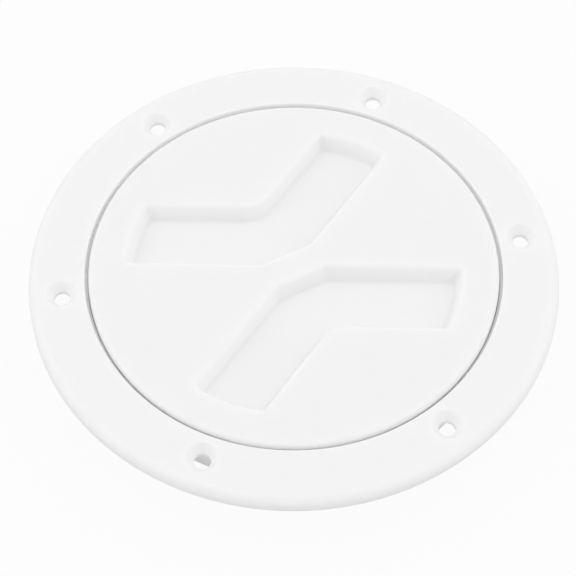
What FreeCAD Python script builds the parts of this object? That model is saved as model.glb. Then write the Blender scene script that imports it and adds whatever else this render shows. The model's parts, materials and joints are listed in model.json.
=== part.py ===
import FreeCAD, Part
import math
import os
import Sketcher

# A round deck inspection plate: a screw-down ring, a flush lid that unscrews by hand, and its seal.
# Millimetres. The deck's surface is z = 0, +Z is up, and the first screw hole lies on +X.

SIZES = {
    # Opening and thread
    "opening_radius": 51.0,          # clear opening inside the neck's thread
    "thread_pitch": 6.0,             # rise of one turn
    "thread_depth": 1.4,             # height of a ridge above its wall
    "thread_flank_angle": 21.0,      # lean of a ridge's side from square
    "thread_gap": 0.3,               # radial clearance between a ridge and the wall it faces
    "thread_play": 0.27,             # axial clearance on each side of a ridge
    "thread_turns": 1.5,             # turns of each ridge
    "thread_lead": 2.4,              # ledge to the middle of the ridge's top end
    "thread_tail": 3.0,              # middle of the ridge's low end to the neck's foot
    "ridge_bite": 0.4,               # how far a ridge's section reaches into its wall

    # Seal and ledge
    "seal_section": 2.6,             # thickness of the O-ring
    "seal_clearance": 0.1,           # space between the O-ring and what it lies against
    "seal_room": 0.3,                # space outside the O-ring, for its squeeze
    "ledge_lip": 0.1,                # ledge inside the O-ring
    "ledge_thickness": 2.5,

    # Ring
    "flange_width": 15.1,            # bore to rim
    "flange_thickness": 3.6,
    "rim_round": 3.2,                # rounding of the flange's outer edge
    "bore_bevel": 0.3,               # bevel of the bore's upper edge
    "groove_width": 0.9,             # lid to the bore
    "groove_depth": 1.8,             # flange's face to the step between the bore and the seal's wall
    "collar_wall": 2.6,
    "neck_wall": 2.4,
    "foot_bevel": 0.8,               # lead-in at the neck's lower edge
    "screw_setback": 6.3,            # bore to the middle of a screw hole
    "screw_hole_diameter": 4.4,
    "countersink_diameter": 8.4,
    "countersink_angle": 82.0,
    "screw_count": 6,

    # Lid
    "rim_gap": 0.4,                  # lid to the wall round the seal
    "lid_thickness": 3.6,
    "lid_edge_round": 1.0,
    "land_lift": 0.3,                # foot of the seal's land above the ledge
    "skirt_wall": 2.4,
    "skirt_lift": 1.2,               # foot of the skirt above the neck's foot
    "skirt_bevel": 0.6,              # lead-in at the skirt's lower edge
    "rib_thickness": 1.8,
    "rib_depth": 3.2,

    # Finger recesses
    "recess_bearing": 108.7,         # middle of the first recess, turned from the first screw hole
    "recess_half_angle": 61.5,       # half the spread between a recess's two arms
    "recess_facet": 4.1,             # lid's middle to the flat between the arms
    "recess_width": 19.1,            # width of an arm
    "recess_end_wall": 3.1,          # recess's end to the inside of the skirt
    "recess_depth": 5.0,
    "recess_draft": 17.0,            # lean of a recess's walls
    "recess_inner_round": 7.0,       # rounding of the lid's corner between the arms
    "recess_bend_round": 5.0,        # rounding of the two corners beside the flat
    "recess_corner_round": 1.6,      # rounding of the corners at the arms' ends
    "recess_edge_bevel": 1.0,
    "recess_floor_bevel": 0.8,
    "pocket_wall": 1.4,              # recess's upper edge to the outside of its pocket
    "pocket_floor": 2.4,
}

# Radii and heights that follow from the sizes, from the opening outwards and from the flange down
NECK_ROOT = "(Sizes.opening_radius + Sizes.thread_depth)"
NECK_OUTSIDE = f"({NECK_ROOT} + Sizes.neck_wall)"
SKIRT_CREST = f"({NECK_ROOT} - Sizes.thread_gap)"
SKIRT_ROOT = f"({SKIRT_CREST} - Sizes.thread_depth)"
SKIRT_INSIDE = f"({SKIRT_ROOT} - Sizes.skirt_wall)"
RECESS_REACH = f"({SKIRT_INSIDE} - Sizes.recess_end_wall)"
SEAL_INSIDE = f"({NECK_ROOT} + Sizes.ledge_lip)"
SEAL_MIDDLE = f"({SEAL_INSIDE} + Sizes.seal_section / 2)"
LAND_RADIUS = f"({SEAL_INSIDE} - Sizes.seal_clearance)"
SEAL_WALL = f"({SEAL_INSIDE} + Sizes.seal_section + Sizes.seal_room)"
LID_RADIUS = f"({SEAL_WALL} - Sizes.rim_gap)"
BORE_RADIUS = f"({LID_RADIUS} + Sizes.groove_width)"
COLLAR_OUTSIDE = f"({BORE_RADIUS} + Sizes.collar_wall)"
SCREW_CIRCLE = f"({BORE_RADIUS} + Sizes.screw_setback)"
FLANGE_RADIUS = f"({BORE_RADIUS} + Sizes.flange_width)"

TOP = "Sizes.flange_thickness"
GROOVE_FLOOR = f"({TOP} - Sizes.groove_depth)"
LID_UNDERSIDE = f"({TOP} - Sizes.lid_thickness)"
SEAL_HEIGHT = f"({LID_UNDERSIDE} - Sizes.seal_clearance - Sizes.seal_section / 2)"
LEDGE = f"({LID_UNDERSIDE} - Sizes.seal_section - 2 * Sizes.seal_clearance)"
COLLAR_FOOT = f"({LEDGE} - Sizes.ledge_thickness)"
LAND_FOOT = f"({LEDGE} + Sizes.land_lift)"
RIDGE_START = f"({LEDGE} - Sizes.thread_lead - Sizes.thread_turns * Sizes.thread_pitch)"
NECK_FOOT = f"({RIDGE_START} - Sizes.thread_tail)"
SKIRT_FOOT = f"({NECK_FOOT} + Sizes.skirt_lift)"
RECESS_FLOOR = f"({TOP} - Sizes.recess_depth)"
POCKET_UNDERSIDE = f"({RECESS_FLOOR} - Sizes.pocket_floor)"
RIB_FOOT = f"({LID_UNDERSIDE} - Sizes.rib_depth)"

# Half the height of a ridge's section, so that two ridges mesh with the same play on both sides
RIDGE_LEAN = "tan(Sizes.thread_flank_angle)"
HALF_CREST = (
    f"(Sizes.thread_pitch / 4 - Sizes.thread_play / 2"
    f" - {RIDGE_LEAN} * (Sizes.thread_depth - Sizes.thread_gap) / 2)"
)
HALF_BASE = f"({HALF_CREST} + {RIDGE_LEAN} * (Sizes.thread_depth + Sizes.ridge_bite))"

# Flats that stand for a round: on the flange's rim, on the lid's edge and round the seal's section
RIM_FLAT_COUNT = 4
EDGE_FLAT_COUNT = 2
SEAL_FLAT_COUNT = 8

# Bearings of the ridges' low ends, half a turn apart, so that each lies midway between the other's turns
NECK_RIDGE_BEARING = 0
SKIRT_RIDGE_BEARING = 180

RECESS_COUNT = 2

NEAR = 1e-3

doc = FreeCAD.newDocument("DeckInspectionPlate")


def make_sheet():
    """The spreadsheet that holds every driving size."""
    sheet = doc.addObject("Spreadsheet::Sheet", "Sizes")
    for row, (name, size) in enumerate(SIZES.items(), start=1):
        sheet.set(f"A{row}", name)
        sheet.set(f"B{row}", str(size))
        sheet.setAlias(f"B{row}", name)
    doc.recompute()
    return sheet


def measure(expression):
    """The present value of an expression over the sheet's sizes."""
    return float(doc.Sizes.evalExpression(expression))


def origin_feature(body, role):
    """One of a body's own origin planes or axes."""
    return next(feature for feature in body.Origin.OriginFeatures if feature.Role == role)


def new_body(name):
    """An empty body whose label names the sub-part."""
    body = doc.addObject("PartDesign::Body", name)
    body.Label = name
    return body


def new_sketch(body, name, plane, height="0"):
    """An empty sketch on one of the body's origin planes, lifted along the plane's normal."""
    sketch = body.newObject("Sketcher::SketchObject", name)
    sketch.AttachmentSupport = [(origin_feature(body, plane), "")]
    sketch.MapMode = "FlatFace"
    sketch.setExpression("AttachmentOffset.Base.z", height)
    return sketch


def pin_point(sketch, geometry, end, across, along):
    """Holds one point of a sketch at two expressions, measured from the sketch's origin."""
    for kind, expression in (("DistanceX", across), ("DistanceY", along)):
        number = sketch.addConstraint(
            Sketcher.Constraint(kind, -1, 1, geometry, end, measure(expression))
        )
        sketch.setExpression(f"Constraints[{number}]", expression)


def size_constraint(sketch, expression, kind, *geometry):
    """A radius, angle or distance in a sketch that follows an expression."""
    start = math.radians(measure(expression)) if kind == "Angle" else measure(expression)
    number = sketch.addConstraint(Sketcher.Constraint(kind, *geometry, start))
    sketch.setExpression(f"Constraints[{number}]", expression)


def outline(sketch, corners):
    """A closed outline of straight lines through corners, each a pair of expressions."""
    points = [FreeCAD.Vector(measure(across), measure(along), 0) for across, along in corners]
    for start, end in zip(points, points[1:] + points[:1]):
        sketch.addGeometry(Part.LineSegment(start, end), False)
    for index, (across, along) in enumerate(corners):
        before = (index - 1) % len(corners)
        sketch.addConstraint(Sketcher.Constraint("Coincident", before, 2, index, 1))
        pin_point(sketch, index, 1, across, along)
    return sketch


def rounded(across, along, size, side, lift, flats=1, level_first=True):
    """The corners that round off one corner of an outline in even flats, or bevel it with one flat.

    side and lift, each 1 or -1, point from the corner to the middle of its round. level_first says
    that the outline comes to the corner along a level line and leaves it along an upright one.
    """
    turns = [90 * step / flats for step in range(flats + 1)]
    corners = [
        (
            f"({across} + {side} * {size} * (1 - sin({turn})))",
            f"({along} + {lift} * {size} * (1 - cos({turn})))",
        )
        for turn in turns
    ]
    return corners if level_first else corners[::-1]


def revolve(body, name, corners):
    """A full turn of an outline in radius and height about the upright axis."""
    sketch = outline(new_sketch(body, f"{name}Outline", "XZ_Plane"), corners)
    feature = body.newObject("PartDesign::Revolution", name)
    feature.Profile = sketch
    feature.ReferenceAxis = (sketch, ["V_Axis"])
    feature.Angle = 360.0
    doc.recompute()
    return feature


def edge_names(feature, keep):
    """The names of the feature's edges that pass a test."""
    return [f"Edge{number}" for number, edge in enumerate(feature.Shape.Edges, start=1) if keep(edge)]


def dress(body, kind, name, base, keep, size_name, expression):
    """A fillet or chamfer on the base feature's edges that pass a test."""
    feature = body.newObject(kind, name)
    feature.Base = (base, edge_names(base, keep))
    feature.setExpression(size_name, expression)
    doc.recompute()
    return feature


def fillet(body, name, base, keep, radius):
    return dress(body, "PartDesign::Fillet", name, base, keep, "Radius", radius)


def chamfer(body, name, base, keep, size):
    return dress(body, "PartDesign::Chamfer", name, base, keep, "Size", size)


def polar_pattern(body, name, originals, count):
    """Copies features evenly round the upright axis."""
    pattern = body.newObject("PartDesign::PolarPattern", name)
    pattern.Originals = originals
    pattern.Axis = (origin_feature(body, "Z_Axis"), [""])
    pattern.Angle = 360.0
    pattern.setExpression("Occurrences", count)
    body.Tip = pattern
    doc.recompute()
    return pattern


def thread_ridge(body, name, wall, crest, bearing):
    """A right-hand helical ridge from a wall's radius to a crest's, starting at a bearing."""
    root = f"({wall} + Sizes.ridge_bite * {1 if measure(wall) > measure(crest) else -1})"
    sketch = outline(new_sketch(body, f"{name}Section", "XZ_Plane"), [
        (root, f"{RIDGE_START} - {HALF_BASE}"),
        (root, f"{RIDGE_START} + {HALF_BASE}"),
        (crest, f"{RIDGE_START} + {HALF_CREST}"),
        (crest, f"{RIDGE_START} - {HALF_CREST}"),
    ])
    sketch.AttachmentOffset = FreeCAD.Placement(
        FreeCAD.Vector(), FreeCAD.Rotation(FreeCAD.Vector(0, 1, 0), bearing)
    )
    ridge = body.newObject("PartDesign::AdditiveHelix", name)
    ridge.Profile = sketch
    ridge.ReferenceAxis = (sketch, ["V_Axis"])
    ridge.Mode = "pitch-turns-angle"
    ridge.setExpression("Pitch", "Sizes.thread_pitch")
    ridge.setExpression("Turns", "Sizes.thread_turns")
    doc.recompute()
    return ridge


def make_mounting_ring():
    """The flange, the collar that fills the deck's cut-out, the seal's ledge and the threaded neck."""
    ring = new_body("mounting_ring")
    revolve(ring, "TurnedRing", [
        *rounded(BORE_RADIUS, TOP, "Sizes.bore_bevel", 1, -1, level_first=False),
        *rounded(FLANGE_RADIUS, TOP, "Sizes.rim_round", -1, -1, RIM_FLAT_COUNT),
        (FLANGE_RADIUS, "0"),
        (COLLAR_OUTSIDE, "0"),
        (COLLAR_OUTSIDE, COLLAR_FOOT),
        (NECK_OUTSIDE, COLLAR_FOOT),
        *rounded(NECK_OUTSIDE, NECK_FOOT, "Sizes.foot_bevel", -1, 1, level_first=False),
        (NECK_ROOT, NECK_FOOT),
        (NECK_ROOT, LEDGE),
        (SEAL_WALL, LEDGE),
        (SEAL_WALL, GROOVE_FLOOR),
        (BORE_RADIUS, GROOVE_FLOOR),
    ])
    make_screw_holes(ring)
    thread_ridge(ring, "NeckThread", NECK_ROOT, "Sizes.opening_radius", NECK_RIDGE_BEARING)
    return ring


def make_screw_holes(ring):
    """Countersunk holes for the deck screws, evenly round the flange."""
    place = new_sketch(ring, "ScrewHolePlace", "XY_Plane", TOP)
    middle = FreeCAD.Vector(measure(SCREW_CIRCLE), 0, 0)
    radius = measure("Sizes.screw_hole_diameter / 2")
    place.addGeometry(Part.Circle(middle, FreeCAD.Vector(0, 0, 1), radius), False)
    pin_point(place, 0, 3, SCREW_CIRCLE, "0")
    size_constraint(place, "Sizes.screw_hole_diameter / 2", "Radius", 0)
    doc.recompute()
    hole = ring.newObject("PartDesign::Hole", "ScrewHole")
    hole.Profile = place
    hole.DepthType = "ThroughAll"
    hole.HoleCutType = "Countersink"
    hole.HoleCutCustomValues = True
    hole.setExpression("Diameter", "Sizes.screw_hole_diameter")
    hole.setExpression("HoleCutDiameter", "Sizes.countersink_diameter")
    hole.setExpression("HoleCutCountersinkAngle", "Sizes.countersink_angle")
    doc.recompute()
    polar_pattern(ring, "ScrewHoles", [hole], "Sizes.screw_count")


def chevron(body, name, height, spread):
    """A V-shaped outline with two arms of even width, grown on its long sides by a spread.

    Its inner lines run parallel to two radial lines, and a flat joins them across the middle. Its
    outer lines are parallel to them at the arm's width and meet in a rounded corner. An arc about the
    lid's middle ends each arm.
    """
    sketch = new_sketch(body, name, "XY_Plane", height)
    sketch.setExpression("AttachmentOffset.Rotation.Angle", "Sizes.recess_bearing - 90")
    half = math.radians(measure("Sizes.recess_half_angle"))
    grown = measure(spread)
    inner = -grown
    outer = measure("Sizes.recess_width") + grown
    reach = measure(RECESS_REACH) + grown
    corner = measure("Sizes.recess_inner_round") - grown
    flat = measure("Sizes.recess_facet") - grown

    def on_arm(out, offset):
        """A point of the right arm, from its distance along the arm and its offset across it."""
        x = out * math.sin(half) - offset * math.cos(half)
        y = out * math.cos(half) + offset * math.sin(half)
        return FreeCAD.Vector(x, y, 0)

    def mirrored(point):
        return FreeCAD.Vector(-point.x, point.y, 0)

    flat_end = on_arm((flat - inner * math.sin(half)) / math.cos(half), inner)
    inner_end = on_arm(math.sqrt(reach**2 - inner**2), inner)
    outer_end = on_arm(math.sqrt(reach**2 - outer**2), outer)
    bend = on_arm((outer + corner) / math.tan(half), outer)
    bend_middle = FreeCAD.Vector(0, (outer + corner) / math.sin(half), 0)
    up = FreeCAD.Vector(0, 0, 1)

    def arc(middle, radius, start, end):
        angles = [math.atan2(point.y - middle.y, point.x - middle.x) for point in (start, end)]
        return Part.ArcOfCircle(Part.Circle(middle, up, radius), *angles)

    origin = FreeCAD.Vector(0, 0, 0)
    upright = -2
    facet, right_inner, right_end, right_outer, inside_corner, left_outer, left_end, left_inner = range(8)
    sketch.addGeometry([
        Part.LineSegment(mirrored(flat_end), flat_end),
        Part.LineSegment(flat_end, inner_end),
        arc(origin, reach, inner_end, outer_end),
        Part.LineSegment(outer_end, bend),
        arc(bend_middle, corner, mirrored(bend), bend),
        Part.LineSegment(mirrored(bend), mirrored(outer_end)),
        arc(origin, reach, mirrored(outer_end), mirrored(inner_end)),
        Part.LineSegment(mirrored(inner_end), mirrored(flat_end)),
    ], False)
    joints = [
        (facet, 2, right_inner, 1),
        (right_inner, 2, right_end, 1),
        (right_end, 2, right_outer, 1),
        (left_outer, 2, left_end, 1),
        (left_end, 2, left_inner, 1),
        (left_inner, 2, facet, 1),
    ]
    for joint in joints:
        sketch.addConstraint(Sketcher.Constraint("Coincident", *joint))
    for end_arc in (right_end, left_end):
        sketch.addConstraint(Sketcher.Constraint("Coincident", end_arc, 3, -1, 1))
        size_constraint(sketch, f"{RECESS_REACH} + {spread}", "Radius", end_arc)
    sketch.addConstraint(Sketcher.Constraint("Tangent", right_outer, 2, inside_corner, 2))
    sketch.addConstraint(Sketcher.Constraint("Tangent", inside_corner, 1, left_outer, 1))
    sketch.addConstraint(Sketcher.Constraint("PointOnObject", inside_corner, 3, upright))
    sketch.addConstraint(Sketcher.Constraint("Symmetric", facet, 1, facet, 2, upright))
    sketch.addConstraint(Sketcher.Constraint("Parallel", right_inner, right_outer))
    sketch.addConstraint(Sketcher.Constraint("Parallel", left_inner, left_outer))
    size_constraint(sketch, f"Sizes.recess_inner_round - {spread}", "Radius", inside_corner)
    size_constraint(sketch, f"Sizes.recess_facet - {spread}", "DistanceY", -1, 1, facet, 1)
    size_constraint(sketch, "Sizes.recess_half_angle", "Angle", right_inner, 1, upright, 1)
    size_constraint(sketch, "Sizes.recess_half_angle", "Angle", upright, 1, left_inner, 2)
    size_constraint(sketch, f"Sizes.recess_width + {spread}", "Distance", -1, 1, right_outer)
    if grown > 0:
        size_constraint(sketch, spread, "Distance", -1, 1, right_inner)
    else:
        sketch.addConstraint(Sketcher.Constraint("PointOnObject", -1, 1, right_inner))
    doc.recompute()
    return sketch


def pad(body, name, sketch, height):
    """Raises a sketch by a height."""
    feature = body.newObject("PartDesign::Pad", name)
    feature.Profile = sketch
    feature.setExpression("Length", height)
    doc.recompute()
    return feature


def make_screw_lid():
    """The flush disc with its finger recesses, ribs, the seal's land and the threaded skirt."""
    lid = new_body("screw_lid")
    revolve(lid, "TurnedLid", [
        ("0", TOP),
        *rounded(LID_RADIUS, TOP, "Sizes.lid_edge_round", -1, -1, EDGE_FLAT_COUNT),
        (LID_RADIUS, LID_UNDERSIDE),
        (LAND_RADIUS, LID_UNDERSIDE),
        (LAND_RADIUS, LAND_FOOT),
        (SKIRT_ROOT, LAND_FOOT),
        *rounded(SKIRT_ROOT, SKIRT_FOOT, "Sizes.skirt_bevel", -1, 1, level_first=False),
        (SKIRT_INSIDE, SKIRT_FOOT),
        (SKIRT_INSIDE, LID_UNDERSIDE),
        ("0", LID_UNDERSIDE),
    ])
    make_ribs(lid)
    make_recesses(lid)
    thread_ridge(lid, "SkirtThread", SKIRT_ROOT, SKIRT_CREST, SKIRT_RIDGE_BEARING)
    return lid


def make_ribs(lid):
    """Four ribs under the disc, along and across the middle line of the recesses."""
    half = "(Sizes.rib_thickness / 2)"
    end = f"({SKIRT_INSIDE} + Sizes.skirt_wall / 2)"
    for name, across, along in (("RibAcross", end, half), ("RibAlong", half, end)):
        sketch = outline(new_sketch(lid, f"{name}Outline", "XY_Plane", RIB_FOOT), [
            (f"-{across}", f"-{along}"),
            (across, f"-{along}"),
            (across, along),
            (f"-{across}", along),
        ])
        sketch.setExpression("AttachmentOffset.Rotation.Angle", "Sizes.recess_bearing - 90")
        pad(lid, name, sketch, "Sizes.rib_depth + Sizes.lid_thickness / 2")


def make_recesses(lid):
    """Two V-shaped finger recesses, point to point, each sunk in a pocket under the disc."""
    pocket = pad(
        lid, "Pocket", chevron(lid, "PocketOutline", POCKET_UNDERSIDE, "Sizes.pocket_wall"),
        f"{LID_UNDERSIDE} - {POCKET_UNDERSIDE} + Sizes.lid_thickness / 2",
    )
    recess = lid.newObject("PartDesign::Pocket", "Recess")
    recess.Profile = chevron(lid, "RecessOutline", TOP, "0")
    recess.setExpression("Length", "Sizes.recess_depth")
    recess.setExpression("TaperAngle", "-Sizes.recess_draft")
    doc.recompute()
    both = polar_pattern(lid, "Recesses", [pocket, recess], f"{RECESS_COUNT}")
    top = measure(TOP)
    floor = measure(RECESS_FLOOR)
    clear_radius = measure(SKIRT_INSIDE)
    halfway = measure(f"{RECESS_REACH} / 2")

    def lies_at(edge, height):
        """Whether an edge of the recesses lies flat at a height."""
        ends = [vertex.Point for vertex in edge.Vertexes]
        inside = all(math.hypot(end.x, end.y) < clear_radius for end in ends)
        return inside and all(abs(end.z - height) < NEAR for end in ends)

    def joins_levels(edge):
        """Whether an edge runs down a corner from the lid's face to a recess's floor."""
        heights = sorted(vertex.Point.z for vertex in edge.Vertexes)
        return len(heights) == 2 and abs(heights[0] - floor) < NEAR and abs(heights[1] - top) < NEAR

    def is_bend(edge):
        """Whether an edge runs down a corner beside the flat between the arms."""
        return joins_levels(edge) and all(math.hypot(end.X, end.Y) < halfway for end in edge.Vertexes)

    def is_corner(edge):
        """Whether an edge runs down a corner at an arm's end."""
        return joins_levels(edge) and all(math.hypot(end.X, end.Y) > halfway for end in edge.Vertexes)

    bends = fillet(lid, "RecessBends", both, is_bend, "Sizes.recess_bend_round")
    corners = fillet(lid, "RecessCorners", bends, is_corner, "Sizes.recess_corner_round")
    edges = chamfer(lid, "RecessEdges", corners, lambda edge: lies_at(edge, top), "Sizes.recess_edge_bevel")
    chamfer(lid, "RecessFloors", edges, lambda edge: lies_at(edge, floor), "Sizes.recess_floor_bevel")


def make_seal_ring():
    """The O-ring round the lid's land, between the disc's rim and the ledge.

    Its round section is cut as even flats, one of them facing each thing that it lies against.
    """
    seal = new_body("seal_ring")
    reach = f"(Sizes.seal_section / 2 / cos({180 / SEAL_FLAT_COUNT}))"
    turns = [360 * (step + 0.5) / SEAL_FLAT_COUNT for step in range(SEAL_FLAT_COUNT)]
    revolve(seal, "TurnedSeal", [
        (f"({SEAL_MIDDLE} + {reach} * cos({turn}))", f"({SEAL_HEIGHT} + {reach} * sin({turn}))")
        for turn in turns
    ])
    return seal


def check_and_export(sub_parts):
    """Stops on any failed object or bad solid, then writes one STEP file for each sub-part."""
    doc.recompute()
    for thing in doc.Objects:
        if {"Invalid", "Error"} & set(thing.State):
            raise RuntimeError(f"{thing.Name} did not build: {thing.State}")
    for sub_part in sub_parts:
        shape = sub_part.Shape
        if shape.isNull() or not shape.isValid() or len(shape.Solids) != 1:
            raise RuntimeError(f"{sub_part.Label} is not one valid solid")
    os.makedirs("parts", exist_ok=True)
    for sub_part in sub_parts:
        sub_part.Shape.exportStep(f"parts/{sub_part.Label}.step")
        print(f"{sub_part.Label}: {sub_part.Shape.Volume:.1f} mm3")


make_sheet()
check_and_export([make_mounting_ring(), make_screw_lid(), make_seal_ring()])
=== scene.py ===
import json
import math

import bmesh
import bpy
import numpy as np
from bpy.props import FloatProperty, FloatVectorProperty, IntProperty, PointerProperty
from mathutils import Matrix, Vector
from mathutils.geometry import delaunay_2d_cdt


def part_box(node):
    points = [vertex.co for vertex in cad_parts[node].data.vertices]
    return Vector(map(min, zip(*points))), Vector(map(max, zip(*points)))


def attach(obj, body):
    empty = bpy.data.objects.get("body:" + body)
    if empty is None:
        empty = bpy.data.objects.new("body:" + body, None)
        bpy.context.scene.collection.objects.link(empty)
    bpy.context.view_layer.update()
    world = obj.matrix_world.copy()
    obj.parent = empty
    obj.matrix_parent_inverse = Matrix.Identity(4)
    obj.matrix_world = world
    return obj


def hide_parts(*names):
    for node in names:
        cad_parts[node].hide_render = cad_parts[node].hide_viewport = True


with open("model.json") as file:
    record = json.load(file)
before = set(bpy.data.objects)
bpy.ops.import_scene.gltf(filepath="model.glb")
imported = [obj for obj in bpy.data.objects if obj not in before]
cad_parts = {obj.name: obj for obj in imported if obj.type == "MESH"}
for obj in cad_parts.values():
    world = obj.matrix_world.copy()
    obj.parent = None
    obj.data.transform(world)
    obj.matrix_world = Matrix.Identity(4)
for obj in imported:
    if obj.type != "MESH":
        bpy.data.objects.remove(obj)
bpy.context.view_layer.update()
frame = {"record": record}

# A round deck inspection plate: a screw-down ring, a flush lid that unscrews by hand, and its seal.
# Metres. The deck's surface is z = 0, +Z is up, and the first screw hole lies on +X.

bl_info = {
    "name": "Deck Inspection Plate",
    "version": (1, 0, 0),
    "blender": (4, 5, 0),
    "location": "View3D > Sidebar > Deck Plate",
    "description": "Builds a round deck inspection plate: mounting ring, screw lid and seal ring",
    "category": "Add Mesh",
}

# What the frame gives
RING_LOW, RING_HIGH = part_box("mounting_ring")
LID_LOW, LID_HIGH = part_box("screw_lid")
SEAL_LOW, SEAL_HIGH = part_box("seal_ring")
MOUNTS = {mount["name"]: mount["dims"] for mount in frame["record"]["mounts"]}
MM = 0.001

TOP = RING_HIGH.z
DECK = 0.0
SEAL_CLEARANCE = 0.1 * MM
LEDGE = SEAL_LOW.z - SEAL_CLEARANCE
LID_UNDERSIDE = SEAL_HIGH.z + SEAL_CLEARANCE

# Points round the plate and round a screw hole, and steps in an arc of a profile
AROUND = 288
HOLE_AROUND = 64
ARC_STEPS = 8

# Points along the stretches of a recess's outline, from the flat to the bend
FLAT_POINTS = 4
FLAT_ARC_POINTS = 7
INNER_LINE_POINTS = 17
CORNER_POINTS = 9
END_POINTS = 17
OUTER_LINE_POINTS = 9
BEND_POINTS = 9

# The flat stretch on each side of an arc, and how far beyond the arc a level face takes over
SUPPORT = 0.12 * MM
MARGIN = 3 * SUPPORT

# Points closer than this are welded, and edges that turn by more than this are shown sharp
WELD = 1e-6
SHARP_ANGLE = math.radians(32)

# Points of a level face closer than this, in millimetres, are one
CUT_PRECISION = 1e-5

# Where most of a noise's values lie
MIDDLE_RANGE = (0.35, 0.65)

# How far the roughness goes below and above its stated value, and how the surfaces bend light
PLASTIC_SPREAD = (-0.04, 0.05)
RUBBER_SPREAD = (-0.15, 0.1)
PLASTIC_IOR = 1.48
RUBBER_IOR = 1.5

# Width of the picture, in the millimetres that the lens is given in
PICTURE_WIDTH = 36


class RingSizes(bpy.types.PropertyGroup):
    """Sizes of the mounting ring."""

    flange_radius: FloatProperty(
        name="Flange radius", description="Middle of the ring to the flange's rim",
        default=RING_HIGH.x, unit="LENGTH",
    )
    rim_round: FloatProperty(
        name="Rim round", description="Rounding of the flange's outer edge",
        default=2.8 * MM, unit="LENGTH",
    )
    flange_edge_round: FloatProperty(
        name="Lower rim round", description="Rounding of the flange's edge against the deck",
        default=0.1 * MM, unit="LENGTH",
    )
    bore_radius: FloatProperty(
        name="Bore radius", description="Middle of the ring to the wall round the lid",
        default=SEAL_HIGH.x + 0.8 * MM, unit="LENGTH",
    )
    bore_round: FloatProperty(
        name="Bore round", description="Rounding of the bore's upper edge",
        default=0.35 * MM, unit="LENGTH",
    )
    groove_depth: FloatProperty(
        name="Groove depth", description="Flange's face to the step between the bore and the seal's wall",
        default=1.8 * MM, unit="LENGTH",
    )
    groove_corner_round: FloatProperty(
        name="Groove corner round", description="Rounding of the step under the groove",
        default=0.08 * MM, unit="LENGTH",
    )
    seal_wall_radius: FloatProperty(
        name="Seal wall radius", description="Middle of the ring to the wall round the seal",
        default=SEAL_HIGH.x + 0.05 * MM, unit="LENGTH",
    )
    neck_radius: FloatProperty(
        name="Neck radius", description="Middle of the ring to the neck's inner wall, without the thread",
        default=52.4 * MM, unit="LENGTH",
    )
    neck_wall: FloatProperty(
        name="Neck wall", description="Thickness of the threaded neck",
        default=2.4 * MM, unit="LENGTH",
    )
    neck_foot: FloatProperty(
        name="Neck foot", description="Height of the neck's lower end",
        default=RING_LOW.z, unit="LENGTH",
    )
    foot_round: FloatProperty(
        name="Foot round", description="Lead-in at the neck's lower outer edge",
        default=0.8 * MM, unit="LENGTH",
    )
    collar_radius: FloatProperty(
        name="Collar radius", description="Outside of the collar that fills the deck's cut-out",
        default=MOUNTS["cut_out_collar"]["r_mm"] * MM, unit="LENGTH",
    )
    collar_depth: FloatProperty(
        name="Collar depth", description="How far the collar reaches under the deck's surface",
        default=MOUNTS["cut_out_collar"]["length_mm"] * MM, unit="LENGTH",
    )
    corner_round: FloatProperty(
        name="Corner round", description="Rounding of the collar's, the ledge's and the neck's corners",
        default=0.25 * MM, unit="LENGTH",
    )
    screw_circle: FloatProperty(
        name="Screw circle radius", description="Middle of the ring to the middle of a screw hole",
        default=MOUNTS["screw_holes"]["pcd_mm"] / 2 * MM, unit="LENGTH",
    )
    screw_count: IntProperty(
        name="Screw holes", description="Number of screw holes round the flange",
        default=MOUNTS["screw_holes"]["count"], min=1,
    )
    hole_radius: FloatProperty(
        name="Hole radius", description="Radius of a screw hole",
        default=MOUNTS["screw_holes"]["hole_r_mm"] * MM, unit="LENGTH",
    )
    countersink_radius: FloatProperty(
        name="Countersink radius", description="Radius of a countersink at the flange's face",
        default=4.2 * MM, unit="LENGTH",
    )
    countersink_angle: FloatProperty(
        name="Countersink angle", description="Full angle of a countersink's cone",
        default=math.radians(82), subtype="ANGLE",
    )
    hole_edge_round: FloatProperty(
        name="Hole edge round", description="Rounding of a screw hole's edges",
        default=0.12 * MM, unit="LENGTH",
    )


class ThreadSizes(bpy.types.PropertyGroup):
    """Sizes of the helical ridges on the neck and on the skirt."""

    pitch: FloatProperty(
        name="Pitch", description="Rise of one turn", default=6.0 * MM, unit="LENGTH",
    )
    depth: FloatProperty(
        name="Depth", description="Height of a ridge above its wall", default=1.4 * MM, unit="LENGTH",
    )
    gap: FloatProperty(
        name="Gap", description="Clearance between a ridge and the wall that it faces",
        default=0.3 * MM, unit="LENGTH",
    )
    play: FloatProperty(
        name="Play", description="Clearance on each side of a ridge", default=0.27 * MM, unit="LENGTH",
    )
    flank_angle: FloatProperty(
        name="Flank angle", description="Lean of a ridge's side from square",
        default=math.radians(21), subtype="ANGLE",
    )
    turns: FloatProperty(name="Turns", description="Turns of each ridge", default=1.5)
    start: FloatProperty(
        name="Start", description="Height of the middle of a ridge's low end",
        default=LEDGE - 11.4 * MM, unit="LENGTH",
    )
    edge: FloatProperty(
        name="Edge", description="Half the width of the bevel along a ridge's edges",
        default=0.1 * MM, unit="LENGTH",
    )
    run_out: FloatProperty(
        name="Run-out", description="Length over which a ridge's end rises from its wall",
        default=3.0 * MM, unit="LENGTH",
    )
    lead_in: FloatProperty(
        name="Lead-in", description="Height over which a ridge fades beside its wall's upper and lower end",
        default=0.5 * MM, unit="LENGTH",
    )


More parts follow.
